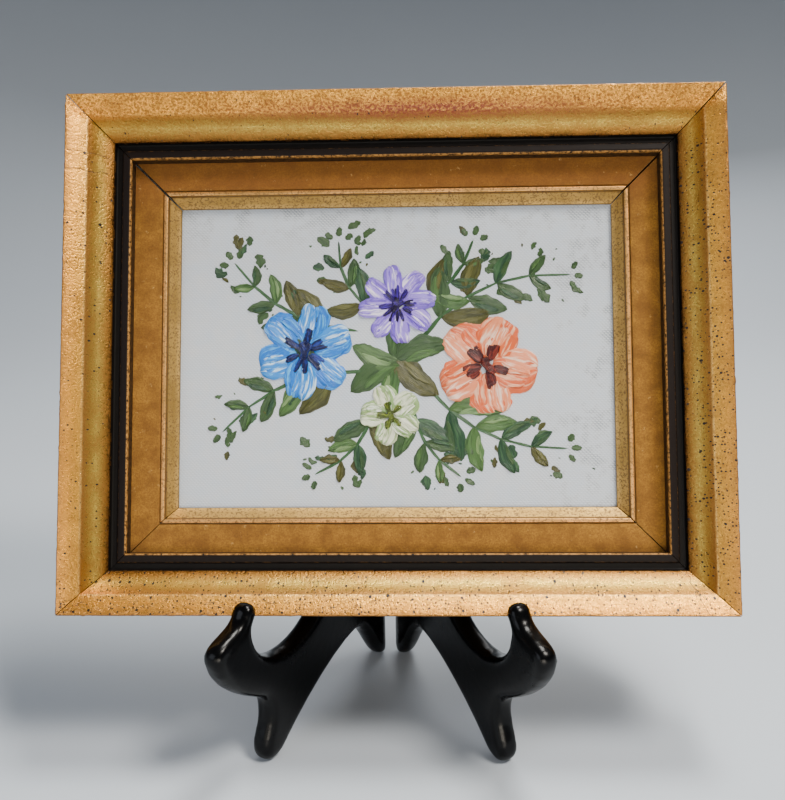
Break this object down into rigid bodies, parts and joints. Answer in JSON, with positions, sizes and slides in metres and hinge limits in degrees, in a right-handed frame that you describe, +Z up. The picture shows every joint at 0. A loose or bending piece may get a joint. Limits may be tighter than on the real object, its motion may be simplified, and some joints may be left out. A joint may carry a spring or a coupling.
{
  "type": "framed oil painting on a folding display easel",
  "caption": "Small knife-painted floral oil in a gilt scoop frame with a velvet liner, leaning on a black folding plastic easel.",
  "frame": {"origin": "centre of the whole object's footprint box, on the surface that the easel stands on", "axes": "+Z up, the picture faces -Y and leans back, +X to the viewer's right"},
  "size_m": [0.2402, 0.119, 0.2383],
  "materials": {
    "gilt_moulding": "gold leaf over red bole, rubbed and fly-specked, with a black painted channel and a worn black step",
    "gilt_lip": "wooden liner with a rubbed pale gold lip",
    "velvet": "amber cotton velvet glued flat",
    "painted_canvas": "primed canvas on board with knife-laid oil paint",
    "black_plastic": "moulded gloss black styrene"
  },
  "bodies": {
    "root": {"rail_top": "gilt_moulding", "rail_bottom": "gilt_moulding", "rail_left": "gilt_moulding", "rail_right": "gilt_moulding", "liner_top": "gilt_lip", "liner_bottom": "gilt_lip", "liner_left": "gilt_lip", "liner_right": "gilt_lip", "velvet_top": "velvet", "velvet_bottom": "velvet", "velvet_left": "velvet", "velvet_right": "velvet", "painted_canvas_board": "painted_canvas", "easel_half_left": "black_plastic", "easel_half_right": "black_plastic"}
  },
  "joints": []
}
